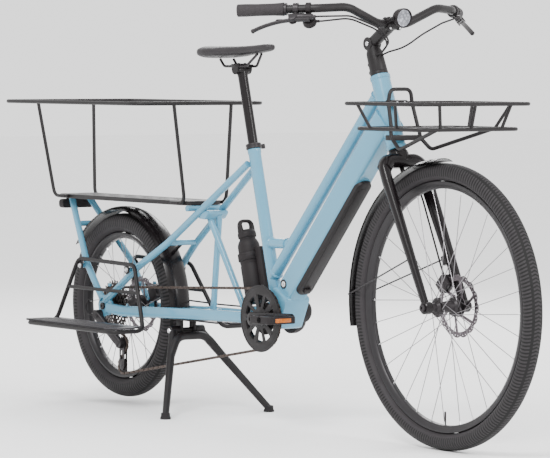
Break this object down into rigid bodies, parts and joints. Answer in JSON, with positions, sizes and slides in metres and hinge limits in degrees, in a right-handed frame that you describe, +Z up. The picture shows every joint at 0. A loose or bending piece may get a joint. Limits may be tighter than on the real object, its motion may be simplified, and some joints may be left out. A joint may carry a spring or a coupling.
{
  "type": "longtail cargo bike",
  "caption": "Pale blue longtail electric cargo bike with a step-through frame, front basket rack, long rear deck inside a passenger rail, side footboards and a double-leg stand.",
  "frame": {"origin": "on the floor under the middle of the bike's length, halfway between its sides", "axes": "+X forward, +Y to the rider's left, +Z up"},
  "size_m": [2.159, 0.7352, 1.124],
  "materials": {
    "blue_paint": "gloss pale blue paint on aluminium tube",
    "black_paint": "satin black powder coat",
    "black_metal": "black anodised, satin",
    "wheel_metal": "black anodised rims and hubs, bare steel spokes",
    "bright_steel": "bare brushed steel",
    "brake_steel": "dark brushed steel",
    "chain_steel": "brown-grey oiled steel",
    "plastic": "matt black moulded",
    "lamp_plastic": "smoked lens in a black housing",
    "soft_rubber": "ribbed soft rubber",
    "tyre_rubber": "matt rubber with a fine slanted tread",
    "saddle_cover": "black grained cover over foam"
  },
  "bodies": {
    "frame": {"frame_main": "blue_paint", "rear_frame_right": "blue_paint", "rear_frame_left": "blue_paint", "rear_struts": "blue_paint", "motor": "plastic", "chain": "chain_steel", "derailleur": "black_metal", "rear_axle": "bright_steel", "rear_fender": "plastic", "rear_caliper": "black_paint", "bottle_cage": "plastic", "cargo_deck": "black_paint", "passenger_rail": "black_paint", "rear_lamp": "lamp_plastic", "front_rack": "black_paint", "footrest_frame_right": "black_paint", "footrest_frame_left": "black_paint", "footboard_right": "plastic", "footboard_left": "plastic", "kickstand_plate": "black_paint", "seat_clamp": "black_metal"},
    "steering": {"fork": "black_paint", "stem": "black_paint", "handlebar": "black_paint", "grip_right": "soft_rubber", "grip_left": "soft_rubber", "brake_body_right": "black_paint", "brake_body_left": "black_paint", "shifter": "plastic", "front_axle": "bright_steel", "front_fender": "plastic", "front_caliper": "black_paint", "control_cables_right": "plastic", "brake_hose_left": "plastic"},
    "front_wheel_set": {"front_wheel": "wheel_metal", "front_tyre": "tyre_rubber", "front_rotor": "brake_steel"},
    "rear_wheel_set": {"rear_wheel": "wheel_metal", "rear_tyre": "tyre_rubber", "rear_rotor": "brake_steel"},
    "sprockets": {"cassette": "brake_steel"},
    "crankset": {"chainring": "black_metal", "crank_right": "black_metal", "crank_left": "black_metal"},
    "pedal_r": {"pedal_right": "plastic"},
    "pedal_l": {"pedal_left": "plastic"},
    "guide_wheel": {"guide_pulley": "plastic"},
    "tension_wheel": {"tension_pulley": "plastic"},
    "lever_r": {"brake_lever_right": "black_paint"},
    "lever_l": {"brake_lever_left": "black_paint"},
    "gear_lever": {"shift_lever": "plastic"},
    "front_light": {"headlight": "plastic"},
    "seat": {"seatpost": "black_metal", "saddle": "saddle_cover"},
    "seat_lever": {"seat_clamp_lever": "black_metal"},
    "stand": {"kickstand": "black_paint"},
    "battery_pack": {"battery": "plastic"},
    "key_lock": {"battery_lock": "bright_steel"},
    "drink": {"bottle": "plastic"},
    "drink_lid": {"bottle_lid": "plastic"}
  },
  "joints": [
    {"name": "steer", "type": "hinge", "parent": "frame", "child": "steering", "pos_m": [0.67659, 0, 0.34451], "axis": [-0.3665, 0, 0.9304], "range_deg": [-45, 45]},
    {"name": "front_wheel_turn", "type": "hinge", "parent": "steering", "child": "front_wheel_set", "pos_m": [0.71846, 0, 0.361], "axis": [0, 1, 0], "continuous": true},
    {"name": "rear_wheel_turn", "type": "hinge", "parent": "frame", "child": "rear_wheel_set", "pos_m": [-0.74854, 0, 0.278], "axis": [0, 1, 0], "continuous": true},
    {"name": "crank_turn", "type": "hinge", "parent": "frame", "child": "crankset", "pos_m": [-0.00654, 0, 0.288], "axis": [0, 1, 0], "continuous": true},
    {"name": "pedal_right_turn", "type": "hinge", "parent": "crankset", "child": "pedal_r", "pos_m": [0.16504, -0.138, 0.3], "axis": [0, 1, 0], "continuous": true},
    {"name": "pedal_left_turn", "type": "hinge", "parent": "crankset", "child": "pedal_l", "pos_m": [-0.17812, 0.138, 0.276], "axis": [0, 1, 0], "continuous": true},
    {"name": "cassette_turn", "type": "hinge", "parent": "frame", "child": "sprockets", "pos_m": [-0.74854, 0, 0.278], "axis": [0, 1, 0], "continuous": true},
    {"name": "guide_pulley_turn", "type": "hinge", "parent": "frame", "child": "guide_wheel", "pos_m": [-0.69154, 0, 0.173], "axis": [0, 1, 0], "continuous": true},
    {"name": "tension_pulley_turn", "type": "hinge", "parent": "frame", "child": "tension_wheel", "pos_m": [-0.69154, 0, 0.11], "axis": [0, 1, 0], "continuous": true},
    {"name": "brake_pull_right", "type": "hinge", "parent": "steering", "child": "lever_r", "pos_m": [0.43556, -0.27035, 1.08087], "axis": [-0.5228, 0.5751, -0.6293], "range_deg": [0, 18], "stiffness_Nm_per_rad": 1.5, "springref_deg": -17.19},
    {"name": "brake_pull_left", "type": "hinge", "parent": "steering", "child": "lever_l", "pos_m": [0.43556, 0.27035, 1.08087], "axis": [0.5228, 0.5751, 0.6293], "range_deg": [0, 18], "stiffness_Nm_per_rad": 1.5, "springref_deg": -17.19},
    {"name": "shift_push", "type": "hinge", "parent": "steering", "child": "gear_lever", "pos_m": [0.44939, -0.23137, 1.08483], "axis": [0.5228, -0.5751, 0.6293], "range_deg": [0, 25], "stiffness_Nm_per_rad": 0.3, "springref_deg": -11.46},
    {"name": "light_tilt", "type": "hinge", "parent": "steering", "child": "front_light", "pos_m": [0.53085, 0, 1.08668], "axis": [0, 1, 0], "range_deg": [-15, 15]},
    {"name": "seat_height", "type": "slide", "parent": "frame", "child": "seat", "axis": [-0.2588, 0, 0.9659], "range_m": [-0.09, 0.06]},
    {"name": "seat_lever_open", "type": "hinge", "parent": "frame", "child": "seat_lever", "pos_m": [-0.11802, 0.0323, 0.74512], "axis": [0.2588, 0, -0.9659], "range_deg": [0, 90]},
    {"name": "stand_fold", "type": "hinge", "parent": "frame", "child": "stand", "pos_m": [-0.44254, 0, 0.226], "axis": [0, 1, 0], "range_deg": [0, 110]},
    {"name": "battery_out", "type": "slide", "parent": "frame", "child": "battery_pack", "axis": [0.7407, 0, -0.6719], "range_m": [0, 0.045]},
    {"name": "lock_turn", "type": "hinge", "parent": "frame", "child": "key_lock", "pos_m": [0.0641, -0.03, 0.38324], "axis": [0, -1, 0], "range_deg": [0, 90]},
    {"name": "bottle_lift", "type": "slide", "parent": "frame", "child": "drink", "axis": [-0.2588, 0, 0.9659], "range_m": [0, 0.05]},
    {"name": "lid_turn", "type": "hinge", "parent": "drink", "child": "drink_lid", "pos_m": [-0.1466, 0, 0.4963], "axis": [-0.2588, 0, 0.9659], "range_deg": [0, 90]}
  ],
  "couplings": [
    {"joint": "cassette_turn", "follows": "crank_turn", "ratio": 1.5385},
    {"joint": "guide_pulley_turn", "follows": "crank_turn", "ratio": -3.6364},
    {"joint": "tension_pulley_turn", "follows": "crank_turn", "ratio": 3.6364}
  ]
}
